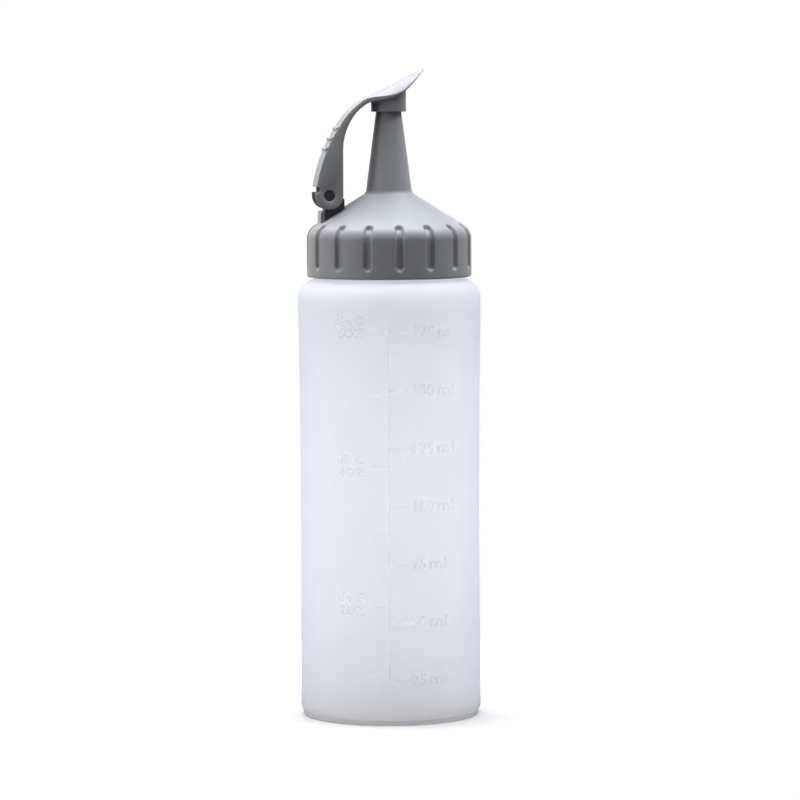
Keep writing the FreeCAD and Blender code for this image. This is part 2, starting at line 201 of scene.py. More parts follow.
NOTCH_LEAN = 0.1
TAB_FULLNESS = 1.25
DROOP_START = 1
SKIN_THIN_START = TAB_START + 2
COLLAR_STEPS = 72
COLLAR_BITE = 0.6
COLLAR_ROOT_ROUND = 0.3
COLLAR_BORE_EDGE = 0.12
COLLAR_EDGE = 0.18

# Moulded scale on the bottle's wall
SCALE_PROUD = 0.28
SCALE_BEVEL = 0.14
SCALE_SINK = 0.1
SCALE_LINE = 0.45
BAR_ROW = 4
SCALE_LETTER = 3.9
DIGIT_STRETCH = 1.12
DIGIT_PITCH = 2.42
ML_STRETCH = 1.5
OZ_STRETCH = 1.1
SCALE_TURN = math.radians(-98.0)
ML_STEP = 25
ML_FIRST = 11.8
ML_PITCH = 14.97
ML_COUNT = 7
ML_TICK = 5.0
ML_TEXT = 5.6
OZ_FIRST = 13.6
OZ_PITCH = 17.86
OZ_COUNT = 6
OZ_TICK = 4.55
OZ_TEXT = 6.7
OZ_LETTER = 3.3
OZ_ROW = 1.72

# Plastics: the share of light that passes the milky wall, its tints and the shared grain
THROUGH_SHARE = 0.85
MARK_SHARE = 0.25
EDGE_TINT = (0.8, 0.82, 0.865, 1)
EDGE_START, EDGE_FULL = 0.3, 0.95
# Tint towards the base: partly its thicker plastic, partly painted shade near the floor
FOOT_FADE = 4.2
FOOT_THICK_AND_SHADE_TINT = (0.98, 0.965, 0.945, 1)
DRIFT_SCALE = 60.0
DRIFT_LOW, DRIFT_HIGH = 0.3, 0.7
GLOSS_DRIFT = 0.04
GRAIN_HEIGHT = 0.0001

# Camera, floor and light
CAMERA_AZIMUTH = math.radians(-7.515)
CAMERA_RISE = math.radians(4.272)
CAMERA_ROLL = math.radians(-0.232)
CAMERA_DISTANCE = 1087.4
CAMERA_AIM_UP = 82.61
CAMERA_AIM_ACROSS = 2.674
FOCAL_SHARE = 5.185
SENSOR = 36.0
FLOOR_REACH = 6.0
FLOOR_BOUNCE = (0.05, 0.05, 0.052, 1)
FLOOR_GLOW = (0.6, 0.6, 0.605, 1)
SHADOW_NEAR = 0.05
SHADOW_FAR = 0.16
BACK_WAY = (-0.4, 1.0, 0.0)
FRONT_LIGHT = 0.0
BACK_LIGHT = 1.25
TOP_LIGHT = 1.5
BEHIND_START, BEHIND_FULL = -0.3, 0.4
ABOVE_START, ABOVE_FULL = 0.5, 0.95
STUDIO_TINT = (0.96, 0.97, 1.0, 1)
WHITE = (1, 1, 1, 1)
PAPER_LOW = (0.41, 0.40, 0.385, 1)
PAPER_HIGH = (0.43, 0.42, 0.405, 1)
PAPER_FIBRE = 300.0
CLIP_NEAR = 0.05


# Helpers

def place(*numbers):
    """A point given in millimetres."""
    return Vector(numbers) * MM


def only(kind, geom):
    return [item for item in geom if isinstance(item, kind)]


def hard_edges(edges, degrees):
    """The edges whose two faces meet at more than an angle."""
    return [edge for edge in edges if edge.calc_face_angle(0) > math.radians(degrees)]


def round_edges(bm, edges, width, segments, clamp=False):
    bmesh.ops.bevel(bm, geom=edges, offset=width * MM, segments=segments, profile=0.5, affect="EDGES",
                    clamp_overlap=clamp, material=-1)


def merge_points(bm, distance=SAME_POINT):
    bmesh.ops.remove_doubles(bm, verts=bm.verts, dist=distance * MM)


def spin_round(bm, geom, steps):
    """Spin an outline a full turn round the bottle's axis."""
    bmesh.ops.spin(bm, geom=geom, cent=(0, 0, 0), axis=(0, 0, 1), angle=FULL_TURN, steps=steps, use_merge=True)


def new_piece(name, mesh, body, material, replaces=()):
    """An object of one material that moves with a body, and stands for the CAD pieces it replaces."""
    piece = bpy.data.objects.new(name, mesh)
    bpy.context.collection.objects.link(piece)
    mesh.materials.clear()
    mesh.materials.append(material)
    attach(piece, body)
    if replaces:
        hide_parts(*replaces)


def shells(bm):
    """Groups of faces that hang together."""
    left = set(bm.faces)
    while left:
        group, reached = [], [left.pop()]
        while reached:
            face = reached.pop()
            group.append(face)
            near = {other for edge in face.edges for other in edge.link_faces if other in left}
            left -= near
            reached += near
        yield group


def face_outwards(bm):
    """Turn each shell's faces the same way, and outwards by the sign of its volume."""
    bm.normal_update()
    bmesh.ops.recalc_face_normals(bm, faces=bm.faces)
    for group in shells(bm):
        if sum(face.calc_center_median().dot(face.normal) * face.calc_area() for face in group) < 0:
            bmesh.ops.reverse_faces(bm, faces=group)


def finish_mesh(bm, name, smooth_angle=40):
    """Face everything outwards, shade it smooth below an angle and turn it into a mesh."""
    face_outwards(bm)
    limit = math.radians(smooth_angle)
    for face in bm.faces:
        face.smooth = True
    for edge in bm.edges:
        edge.smooth = len(edge.link_faces) == 2 and edge.calc_face_angle(0) < limit
    mesh = bpy.data.meshes.new(name)
    bm.to_mesh(mesh)
    bm.free()
    return mesh


# Outlines

def rounded(corners, arc_steps=8, longest=None):
    """An outline through corners (across, up, round), each corner rounded by its radius, long runs divided."""
    path = []
    for number, (across, up, radius) in enumerate(corners):
        here = Vector((across, up))
        if not radius:
            path.append(here)
            continue
        before = (Vector(corners[number - 1][:2]) - here).normalized()
        after = (Vector(corners[(number + 1) % len(corners)][:2]) - here).normalized()
        half = before.angle(after) / 2
        reach = radius / math.tan(half)
        centre = here + (before + after).normalized() * radius / math.sin(half)
        start, end = here + before * reach - centre, here + after * reach - centre
        turn = start.angle_signed(end)
        for step in range(arc_steps + 1):
            path.append(centre + Matrix.Rotation(-turn * step / arc_steps, 2) @ start)
    if not longest:
        return path
    fine = []
    for start, end in zip(path, path[1:]):
        pieces = max(1, math.ceil((end - start).length / longest))
        fine += [start.lerp(end, step / pieces) for step in range(pieces)]
    return fine + path[-1:]


def turned(outline, steps, closed):
    """Spin an outline of (radius, height) round the bottle's axis."""
    bm = bmesh.new()
    verts = [bm.verts.new(place(point.x, 0, point.y)) for point in outline]
    edges = [bm.edges.new(pair) for pair in zip(verts, verts[1:])]
    if closed:
        edges.append(bm.edges.new((verts[-1], verts[0])))
    spin_round(bm, verts + edges, steps)
    merge_points(bm)
    return bm


# Bottle

def body_radius(up):
    """Outer radius of the wall at a height: a faint waist, a little fuller at the shoulder."""
    middle = (SHOULDER_START + HEEL_UP) / 2
    share = (up - middle) / (SHOULDER_START - middle)
    return BODY_RADIUS + WAIST_LEAN * share - WAIST_SAG * (1 - share ** 2)


def make_bottle(material):
    """Body, shoulder, neck and pushed-up base, spun from one outline of outside and inside."""
    standing = STANDING_RADIUS
    foot = BODY_RADIUS - FOOT_STEP
    neck_bore = NECK_RADIUS - NECK_WALL
    low, high = HEEL_UP * 2, SHOULDER_START - HEEL_UP
    heights = [low + (high - low) * row / WAIST_ROWS for row in range(WAIST_ROWS + 1)]
    outline = rounded(
        [
            (0, PUSHUP_HEIGHT, 0),
            (standing - PUSHUP_RUN, PUSHUP_HEIGHT, PUSHUP_ROUND),
            (standing, 0, STANDING_ROUND),
            (foot, 0, FOOT_ROUND),
            (foot - FOOT_GROOVE, FOOT_HEIGHT, GROOVE_ROUND),
            (body_radius(HEEL_UP), HEEL_UP, HEEL_ROUND),
            *((body_radius(up), up, 0) for up in heights),
            (body_radius(SHOULDER_START), SHOULDER_TOP, SHOULDER_ROUND),
            (NECK_RADIUS, SHOULDER_TOP, NECK_ROOT_ROUND),
            (NECK_RADIUS, NECK_TOP, RIM_ROUND),
            (neck_bore, NECK_TOP, RIM_ROUND),
            (neck_bore, SHOULDER_TOP - WALL, NECK_BORE_ROUND),
            (body_radius(SHOULDER_START) - WALL, SHOULDER_TOP - WALL, SHOULDER_ROUND - WALL),
            *((body_radius(up) - WALL, up, 0) for up in reversed(heights)),
            (body_radius(HEEL_UP) - WALL, WALL, INNER_HEEL_ROUND),
            (standing, WALL, STANDING_ROUND),
            (standing - PUSHUP_RUN, PUSHUP_HEIGHT + WALL, INNER_PUSHUP_ROUND),
            (0, PUSHUP_HEIGHT + WALL, 0),
        ]
    )
    bm = turned(outline, BODY_STEPS, closed=False)
    new_piece("bottle_shell", finish_mesh(bm, "bottle_shell"), "bottle", material, ["bottle"])


def thread_ridge(name, root, crest, body, material):
    """One start of a right-hand thread between a root and a crest radius, as a helical sweep."""
    bm = bmesh.new()
    profile = [
        (root, -THREAD_FOOT / 2),
        (crest, -THREAD_CREST / 2),
        (crest, THREAD_CREST / 2),
        (root, THREAD_FOOT / 2),
    ]
    verts = [bm.verts.new(place(across, 0, THREAD_START + up)) for across, up in profile]
    face = bm.faces.new(verts)
    turn = FULL_TURN * THREAD_TURNS
    rise = THREAD_PITCH * THREAD_TURNS / THREAD_STEPS
    bmesh.ops.spin(
        bm, geom=[face, *face.edges, *verts], cent=(0, 0, 0), axis=(0, 0, 1), dvec=place(0, 0, rise),
        angle=turn, steps=THREAD_STEPS, use_merge=False,
    )
    new_piece(name, finish_mesh(bm, name, smooth_angle=30), body, material)


# Scale marks

def wrap_on_wall(bm):
    """Lay flat marks (across, up, proud) round the bottle's wall."""
    for vert in bm.verts:
        across, up, proud = vert.co / MM
        radius = body_radius(up) + proud
        angle = SCALE_TURN + across / BODY_RADIUS
        vert.co = place(radius * math.cos(angle), radius * math.sin(angle), up)


def mark_bar(bm, across, up, width, height):
    """A flat bar with bevelled edges, divided so that it can bend round the wall."""
    before = set(bm.faces)
    columns, rows = max(1, round(width)), max(1, round(height / BAR_ROW))
    for vert in bmesh.ops.create_grid(bm, x_segments=columns, y_segments=rows, size=0.5)["verts"]:
        vert.co = place(across + (vert.co.x + 0.5) * width, up + (vert.co.y + 0.5) * height, -SCALE_SINK)
    flat = [face for face in bm.faces if face not in before]
    raised = bmesh.ops.extrude_face_region(bm, geom=flat)["geom"]
    tops = only(bmesh.types.BMFace, raised)
    bmesh.ops.translate(bm, vec=place(0, 0, SCALE_SINK + SCALE_PROUD), verts=only(bmesh.types.BMVert, raised))
    around = {edge for face in tops for edge in face.edges}
    rims = [edge for edge in around if any(face not in tops for face in edge.link_faces)]
    round_edges(bm, rims, SCALE_BEVEL, segments=1)


def mark_text(bm, words, across, up, height, align, stretch):
    """Letters of a mark with bevelled edges, their left or right end at a place."""
    curve = bpy.data.curves.new("mark", "FONT")
    curve.body = words
    curve.size = height * MM
    curve.align_x = align
    curve.align_y = "CENTER"
    curve.resolution_u = 3
    curve.extrude = (SCALE_PROUD - SCALE_BEVEL) * MM
    curve.bevel_depth = SCALE_BEVEL * MM
    curve.bevel_resolution = 0
    letters = bpy.data.objects.new("mark", curve)
    mesh = bpy.data.meshes.new_from_object(letters)
    mesh.transform(Matrix.Translation(place(across, up, 0)) @ Matrix.Diagonal((stretch, 1, 1, 1)))
    bm.from_mesh(mesh)
    bpy.data.objects.remove(letters)
    bpy.data.curves.remove(curve)
    bpy.data.meshes.remove(mesh)


def make_scale(material):
    """A measuring scale: millilitres to the right of a long line, ounces and shares of a cup to its left."""
    bm = bmesh.new()
    top = OZ_FIRST + OZ_PITCH * (OZ_COUNT - 1)
    mark_bar(bm, -SCALE_LINE / 2, ML_FIRST, SCALE_LINE, top - ML_FIRST)
    for step in range(ML_COUNT):
        up = ML_FIRST + ML_PITCH * step
        mark_bar(bm, 0, up - SCALE_LINE / 2, ML_TICK, SCALE_LINE)
        digits = str(ML_STEP * (step + 1))
        mark_text(bm, digits, ML_TEXT, up, SCALE_LETTER, "LEFT", DIGIT_STRETCH)
        mark_text(bm, "ml", ML_TEXT + DIGIT_PITCH * len(digits), up, SCALE_LETTER, "LEFT", ML_STRETCH)
    for step in range(OZ_COUNT):
        up = OZ_FIRST + OZ_PITCH * step
        mark_bar(bm, -OZ_TICK, up - SCALE_LINE / 2, OZ_TICK, SCALE_LINE)
    for step, share in ((1, "1/4"), (3, "1/2"), (5, "3/4")):
        up = OZ_FIRST + OZ_PITCH * step
        mark_text(bm, f"{share} C", -OZ_TEXT, up + OZ_ROW, OZ_LETTER, "RIGHT", OZ_STRETCH)
        mark_text(bm, f"{step + 1}OZ", -OZ_TEXT, up - OZ_ROW, OZ_LETTER, "RIGHT", OZ_STRETCH)
    merge_points(bm)
    wrap_on_wall(bm)
    new_piece("scale_marks", finish_mesh(bm, "scale_marks", smooth_angle=30), "bottle", material)


# Screw cap

def flute_fall(across, along):
    """Depth of a flute at a distance from its middle line and a place along the cap's outline."""
    low, high = FLUTE_LOW + FLUTE_HALF_WIDTH, FLUTE_HIGH - FLUTE_HALF_WIDTH
    past = max(low - along, 0, along - high)
    share = (FLUTE_HALF_WIDTH - math.hypot(across, past)) / (FLUTE_HALF_WIDTH - FLUTE_FLOOR)
    share = min(max(share, 0), 1)
    return FLUTE_DEPTH * math.sin(share * math.pi / 2)


def cut_flutes(bm):
    """Press the flutes into the skirt and over the shoulder."""
    centre = Vector((SKIRT_RADIUS - CAP_SHOULDER, SKIRT_TOP))
    pitch = FULL_TURN / FLUTE_COUNT
    for vert in bm.verts:
        at = vert.co / MM
        reach = math.hypot(at.x, at.y)
        # the bores, the cone's underside and the nozzle stay as they are
        over = at.z > LAND_TOP + FLUTE_LAND_RISE
        inside = LAND_REACH + FLUTE_LAND_SKIN if over else BORE_RADIUS + FLUTE_BORE_SKIN
        if reach < max(inside, NOZZLE_ROOT_RADIUS * 2):
            continue
        turn = math.atan2(at.y, at.x)
        across = reach * (turn - round(turn / pitch) * pitch)
        lean = Vector((reach, at.z)) - centre
        if at.z <= SKIRT_TOP:
            along, inward = at.z, Vector((-1, 0))
        else:
            angle = min(math.atan2(lean.y, lean.x), math.pi / 2 - CONE_SLOPE)
            inward = Vector((-math.cos(angle), -math.sin(angle)))
            past = lean.dot(Vector((inward.y, -inward.x)))
            along = SKIRT_TOP + CAP_SHOULDER * angle + max(past, 0)
        fall = flute_fall(across, along)
        if fall:
            reach += inward.x * fall
            vert.co = place(reach * math.cos(turn), reach * math.sin(turn), at.z + inward.y * fall)


def make_cap(material):
    """Skirt, shoulder, cone and nozzle spun from one outline, then the flutes pressed in."""
    fall = math.tan(CONE_SLOPE)
    root_top = TIP_TOP - NOZZLE_LENGTH
    cone_foot = root_top - (SKIRT_RADIUS - NOZZLE_ROOT_RADIUS) * fall
    seam = (FLUTED_REACH, cone_foot + (SKIRT_RADIUS - FLUTED_REACH) * fall, 0)
    drop = CONE_WALL / math.cos(CONE_SLOPE)
    bore_root = NOZZLE_ROOT_RADIUS - NOZZLE_WALL
    bevel_reach = NOZZLE_TIP_RADIUS + TIP_BEVEL * (NOZZLE_ROOT_RADIUS - NOZZLE_TIP_RADIUS) / NOZZLE_LENGTH
    outside = rounded(
        [
            (BORE_RADIUS, CAP_BOTTOM, 0),
            (SKIRT_RADIUS, CAP_BOTTOM, SKIRT_EDGE),
            (SKIRT_RADIUS, cone_foot, CAP_SHOULDER),
            seam,
        ],
        arc_steps=12,
        longest=FLUTED_STEP,
    )
    inside = rounded(
        [
            seam,
            (NOZZLE_ROOT_RADIUS, root_top, NOZZLE_ROOT_ROUND),
            (bevel_reach, TIP_TOP - TIP_BEVEL, TIP_BEVEL_ROUND),
            (ORIFICE_RADIUS + TIP_RIM, TIP_TOP, TIP_ROUND),
            (ORIFICE_RADIUS, TIP_TOP, 0),
            (ORIFICE_RADIUS, TIP_TOP - ORIFICE_LENGTH, 0),
            (bore_root, root_top + (NOZZLE_ROOT_RADIUS - bore_root) * fall - drop, CONE_BORE_ROUND),
            (LAND_REACH, root_top + (NOZZLE_ROOT_RADIUS - LAND_REACH) * fall - drop, 0),
            (LAND_REACH, LAND_TOP, LAND_EDGE),
            (BORE_RADIUS, LAND_TOP, LAND_ROUND),
            (BORE_RADIUS, CAP_BOTTOM, 0),
        ],
        arc_steps=4,
    )
    bm = turned(outside + inside[1:-1], CAP_STEPS, closed=True)
    cut_flutes(bm)
    new_piece("cap_body", finish_mesh(bm, "cap_body", smooth_angle=75), "cap", material, ["screw_cap"])


def make_finger(material):
    """The upright finger on the cone that stops the lid."""
    bm = bmesh.new()
    bmesh.ops.create_cube(bm, size=1)
    height = FINGER_TOP - FINGER_LOW
    for vert in bm.verts:
        reach = FINGER_FRONT + (vert.co.x - 0.5) * FINGER_THICKNESS
        vert.co = place(reach, vert.co.y * FINGER_WIDTH, FINGER_LOW + (vert.co.z + 0.5) * height)
    middle = (FINGER_LOW + height / 2) * MM
    tops = [edge for edge in bm.edges if all(vert.co.z > middle for vert in edge.verts)]
    round_edges(bm, tops, FINGER_TOP_ROUND, segments=5)
    round_edges(bm, hard_edges(bm.edges, degrees=60), FINGER_EDGE, segments=2)
    new_piece("stop_finger", finish_mesh(bm, "stop_finger"), "cap", material)


# Flip lid

def arc(start, end, radius, steps):
    """Points after start up to end on a round of that radius; a negative radius bends the other way."""
    half = (end - start) / 2
    side = Vector((-half.y, half.x)).normalized()
    centre = start + half + side * math.copysign(math.sqrt(radius ** 2 - half.length_squared), radius)
    first = start - centre
    turn = first.angle_signed(end - centre)
    return [centre + Matrix.Rotation(-turn * step / steps, 2) @ first for step in range(1, steps + 1)]


def eased(at, start, end):
    """A share from 0 to 1 that starts and ends gently."""
    share = min(max((at - start) / (end - start), 0), 1)
    return share * share * (3 - 2 * share)


def lever_back():
    """The lever's back from its foot to the thumb tab, as points of (reach, height)."""
    low, middle = BACK_LOW.xz, BACK_MID.xz
    start = Vector((TAB_START, RIDGE_TOP + TAB_START * RIDGE_LIFT))
    return [low, *arc(low, middle, -BACK_LOW_BEND, BACK_LOW_STEPS),
            *arc(middle, start, -BACK_TOP_BEND, BACK_TOP_STEPS)]


def tab_line():
    """The thumb tab's ridge, closer points towards its tip."""
    run = [TAB_START + (TAB_TAPER - TAB_START) * step / RIDGE_STEPS for step in range(1, RIDGE_STEPS + 1)]
    for step in range(1, TIP_STEPS + 1):
        run.append(TAB_TAPER + (TAB_REACH - TAB_TAPER) * math.sin(step / TIP_STEPS * math.pi / 2))
    droops = [TAB_DROOP * eased(reach, DROOP_START, 2 * TAB_REACH) for reach in run]
    return [Vector((reach, RIDGE_TOP + reach * RIDGE_LIFT - droop)) for reach, droop in zip(run, droops)]


def tab_half(reach):
    """Half the skin's width at a reach: just within the cheeks, full at the collar, then drawn in to the tip."""
    share = min(max((reach - TAB_TAPER) / (TAB_REACH - TAB_TAPER), 0), 1)
    inset = SKIN_INSET * (1 - eased(reach, TAB_START, TAB_START / 2))
    return max(LID_HALF * math.sqrt(1 - share ** TAB_FULLNESS) - inset, TAB_TIP_HALF)


def tab_fall(reach, across):
    """How far the crowned tab falls towards its sides."""
    return TAB_SAG * eased(reach, SAG_START, SAG_FULL) * (across / LID_HALF) ** 2


def skin_at(reach):
    """Thickness of the lid's skin, thinner over the tab and at its tip."""
    tab = LEVER_SKIN + (TAB_SKIN - LEVER_SKIN) * eased(reach, SKIN_THIN_START, TAB_TAPER)
    return tab + (TIP_SKIN - TAB_SKIN) * eased(reach, TAB_TAPER, TAB_REACH)


def lid_skin(bm):
    """One sheet from the notch up the lever's back and out over the nozzle to the tab's tip."""
    back = lever_back()
    line = [point for point in back if point.y > NOTCH_HIGH] + tab_line()
    line.insert(0, Vector((back[0].x + (NOTCH_HIGH - back[0].y) * NOTCH_LEAN, NOTCH_HIGH)))
    last = len(line) - 1
    made = bmesh.ops.create_grid(bm, x_segments=last, y_segments=SKIN_COLUMNS, size=0.5)["verts"]
    faces = list({face for vert in made for face in vert.link_faces})
    top = bmesh.ops.extrude_face_region(bm, geom=faces)["geom"]
    upper = only(bmesh.types.BMVert, top)
    for verts, inside in ((made, True), (upper, False)):
        for vert in verts:
            row = round((vert.co.x + 0.5) * last)
            at = line[row]
            way = (line[min(row + 1, last)] - line[max(row - 1, 0)]).normalized()
            across = vert.co.y * 2 * tab_half(at.x)
            under = Vector((way.y, -way.x)) * (skin_at(at.x) if inside else 0)
            vert.co = place(at.x + under.x, across, at.y + under.y - tab_fall(at.x, across))
    bm.normal_update()
    around = {edge for vert in made + upper for edge in vert.link_edges}
    round_edges(bm, hard_edges(around, degrees=30), SKIN_EDGE, segments=2)


def lid_cheek(bm, side):
    """One cheek plate with its round end, notch and pin hole, its outer edges broken."""
    hinge = HINGE.xz
    front = hinge + Vector((ROUND_END, 0))
    inner_top = front + Vector((0, INNER_RISE))
    back = [point + CHEEK_TUCK for point in lever_back()]
    upper = back[-1] - Vector((0, LEVER_SKIN * CHEEK_UNDER))
    notch = BACK_LOW.x + NOTCH_DEPTH
    outline = [front, inner_top, *arc(inner_top, upper, -INNER_BEND, INNER_STEPS)]
    outline += reversed([point for point in back if point.y > NOTCH_HIGH])
    outline += [Vector((back[0].x, NOTCH_HIGH)), Vector((notch, NOTCH_HIGH)), Vector((notch, NOTCH_LOW))]
    outline += [Vector((hinge.x - ROUND_END, NOTCH_LOW)), Vector((hinge.x - ROUND_END, hinge.y))]
    for step in range(1, ROUND_STEPS):
        outline.append(hinge + Matrix.Rotation(math.pi * (1 + step / ROUND_STEPS), 2) @ Vector((ROUND_END, 0)))
    hole = []
    for step in range(HOLE_STEPS):
        hole.append(hinge + Matrix.Rotation(FULL_TURN * step / HOLE_STEPS, 2) @ Vector((PIN_HOLE, 0)))
    plane = side * (LID_HALF - CHEEK_WALL)
    edges = []
    for loop in (outline, hole):
        verts = [bm.verts.new(place(point.x, plane, point.y)) for point in loop]
        edges += [bm.edges.new((verts[number - 1], verts[number])) for number in range(len(verts))]
    filled = bmesh.ops.triangle_fill(bm, edges=edges, use_beauty=True, normal=(0, side, 0))["geom"]
    raised = bmesh.ops.extrude_face_region(bm, geom=only(bmesh.types.BMFace, filled))["geom"]
    outwards = place(0, side * (CHEEK_WALL - CHEEK_EDGE), 0)
    bmesh.ops.translate(bm, vec=outwards, verts=only(bmesh.types.BMVert, raised))
    outer = only(bmesh.types.BMFace, raised)
    bmesh.ops.recalc_face_normals(bm, faces=bm.faces)
    for inward, out in CHEEK_EDGE_SHARES:
        bmesh.ops.inset_region(bm, faces=outer, thickness=CHEEK_EDGE * inward * MM, depth=CHEEK_EDGE * out * MM,
                               use_even_offset=True, use_boundary=True)


def lid_collar(bm):
    """The collar over the nozzle's tip, closed at the top and run up into the tab."""
    outline = rounded(
        [
            (0, TIP_TOP, 0),
            (COLLAR_BORE, TIP_TOP, COLLAR_ROOT_ROUND),
            (COLLAR_BORE, COLLAR_LOW, COLLAR_BORE_EDGE),
            (COLLAR_RADIUS, COLLAR_LOW, COLLAR_EDGE),
            (COLLAR_RADIUS, TIP_TOP, 0),
        ],
        arc_steps=4,
    )
    verts = [bm.verts.new(place(point.x, 0, point.y)) for point in outline]
    verts += [bm.verts.new(place(COLLAR_RADIUS, 0, RIDGE_TOP)), bm.verts.new(place(0, 0, RIDGE_TOP))]
    edges = [bm.edges.new(pair) for pair in zip(verts, verts[1:])]
    spin_round(bm, verts + edges, COLLAR_STEPS)
    for vert in bm.verts:
        if abs(vert.co.z - RIDGE_TOP * MM) < SAME_POINT * MM:
            reach, across = vert.co.x / MM, vert.co.y / MM
            vert.co.z = (RIDGE_TOP + reach * RIDGE_LIFT - tab_fall(reach, across) - skin_at(reach) * COLLAR_BITE) * MM


def lid_grips(bm):
    """Round ridges across the lever's back."""
    back = lever_back()
    for rise in GRIP_RISES:
        up = HINGE.z + rise
        after = next(number for number, point in enumerate(back) if point.y > up)
        low, high = back[after - 1], back[after]
        reach = low.x + (high.x - low.x) * (up - low.y) / (high.y - low.y) + GRIP_RADIUS - GRIP_PROUD
        turn = Matrix.Translation(place(reach, 0, up)) @ Matrix.Rotation(math.pi / 2, 4, "X")
        made = bmesh.ops.create_cone(
            bm, cap_ends=True, segments=GRIP_STEPS, radius1=GRIP_RADIUS * MM, radius2=GRIP_RADIUS * MM,
            depth=2 * (LID_HALF - GRIP_INSET) * MM, matrix=turn,
        )["verts"]
        around = {edge for vert in made for edge in vert.link_edges}
        round_edges(bm, hard_edges(around, degrees=60), GRIP_EDGE, segments=3)


def make_lid(material):
    """Collar, skin, two cheeks and grip ridges in one mesh."""
    bm = bmesh.new()
    lid_collar(bm)
    lid_skin(bm)
    lid_cheek(bm, -1)
    lid_cheek(bm, 1)
    lid_grips(bm)
    merge_points(bm)
    new_piece("lid_body", finish_mesh(bm, "lid_body", smooth_angle=62), "lid", material, ["flip_lid"])


# Hinge

def softened_copy(node, name, body, material, width, sharp=32):
    """A copy of a CAD piece with its hard edges rounded over, which stands for it."""
    bm = bmesh.new()
    bm.from_mesh(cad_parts[node].data)
    merge_points(bm, 2 * SAME_POINT)
    bmesh.ops.dissolve_limit(bm, angle_limit=FLAT_ANGLE, verts=bm.verts, edges=bm.edges)
    round_edges(bm, hard_edges(bm.edges, sharp), width, segments=3, clamp=True)
    new_piece(name, finish_mesh(bm, name, smooth_angle=35), body, material, [node])


# Materials

def new_material(name):
    """A material with an empty node tree."""
    material = bpy.data.materials.new(name)
    material.use_nodes = True
    material.node_tree.nodes.clear()
    return material, material.node_tree


def add_node(tree, kind, **inputs):
    """A node with some of its inputs set, their names written with underscores."""
    node = tree.nodes.new(kind)
    for key, setting in inputs.items():
        node.inputs[key.replace("_", " ")].default_value = setting
    return node


def colour_mix(tree, blend="MIX", **ends):
    """A node that mixes two colours, A and B."""
    node = tree.nodes.new("ShaderNodeMix")
    node.data_type, node.blend_type = "RGBA", blend
    for key, colour in ends.items():
        node.inputs[key].default_value = colour
    return node


def connect(tree, *pairs):
    for start, end in pairs:
        tree.links.new(start, end)


def make_moulded_grain():
    """Shared by the plastics: a colour that drifts, a roughness that drifts with it and a fine moulded grain."""
    tree = bpy.data.node_groups.new("moulded_grain", "ShaderNodeTree")
    taken = (("Low", "Color"), ("High", "Color"), ("Roughness", "Float"), ("Grain", "Float"), ("Relief", "Float"))
    for name, kind in taken:
        tree.interface.new_socket(name, in_out="INPUT", socket_type=f"NodeSocket{kind}")
    for name, kind in (("Color", "Color"), ("Roughness", "Float"), ("Normal", "Vector")):
        tree.interface.new_socket(name, in_out="OUTPUT", socket_type=f"NodeSocket{kind}")
    given = tree.nodes.new("NodeGroupInput").outputs
    result = tree.nodes.new("NodeGroupOutput").inputs
    where = tree.nodes.new("ShaderNodeTexCoord").outputs["Object"]
    drift = add_node(tree, "ShaderNodeTexNoise", Scale=DRIFT_SCALE, Detail=4.0, Roughness=0.6)
    share = add_node(tree, "ShaderNodeMapRange", From_Min=DRIFT_LOW, From_Max=DRIFT_HIGH)
    blend = colour_mix(tree)
    gloss = add_node(tree, "ShaderNodeMapRange", To_Min=-GLOSS_DRIFT, To_Max=GLOSS_DRIFT)
    sheen = tree.nodes.new("ShaderNodeMath")
    grain = add_node(tree, "ShaderNodeTexNoise", Detail=6.0, Roughness=0.55)
    bump = add_node(tree, "ShaderNodeBump", Distance=GRAIN_HEIGHT)
    connect(
        tree,
        (where, drift.inputs["Vector"]),
        (drift.outputs["Fac"], share.inputs["Value"]),
        (share.outputs["Result"], blend.inputs["Factor"]),
        (given["Low"], blend.inputs["A"]),
        (given["High"], blend.inputs["B"]),
        (drift.outputs["Fac"], gloss.inputs["Value"]),
        (gloss.outputs["Result"], sheen.inputs[0]),
        (given["Roughness"], sheen.inputs[1]),
        (where, grain.inputs["Vector"]),
        (given["Grain"], grain.inputs["Scale"]),
        (grain.outputs["Fac"], bump.inputs["Height"]),
        (given["Relief"], bump.inputs["Strength"]),
        (blend.outputs["Result"], result["Color"]),
        (sheen.outputs["Value"], result["Roughness"]),
        (bump.outputs["Normal"], result["Normal"]),
    )
    return tree


def plastic(name, low, high, roughness, grain, relief, mirror=0.3):
    """Moulded plastic with the shared grain."""
    material, tree = new_material(name)
    surface = tree.nodes.new("ShaderNodeGroup")
    surface.node_tree = moulded_grain
    given = {"Low": (*low, 1), "High": (*high, 1), "Roughness": roughness, "Grain": grain, "Relief": relief}
    for key, setting in given.items():
        surface.inputs[key].default_value = setting
    shader = add_node(tree, "ShaderNodeBsdfPrincipled", Specular_IOR_Level=mirror)
    out = tree.nodes.new("ShaderNodeOutputMaterial")
    connect(
        tree,
        (surface.outputs["Color"], shader.inputs["Base Color"]),
        (surface.outputs["Roughness"], shader.inputs["Roughness"]),
        (surface.outputs["Normal"], shader.inputs["Normal"]),
        (shader.outputs["BSDF"], out.inputs["Surface"]),
    )
    return material


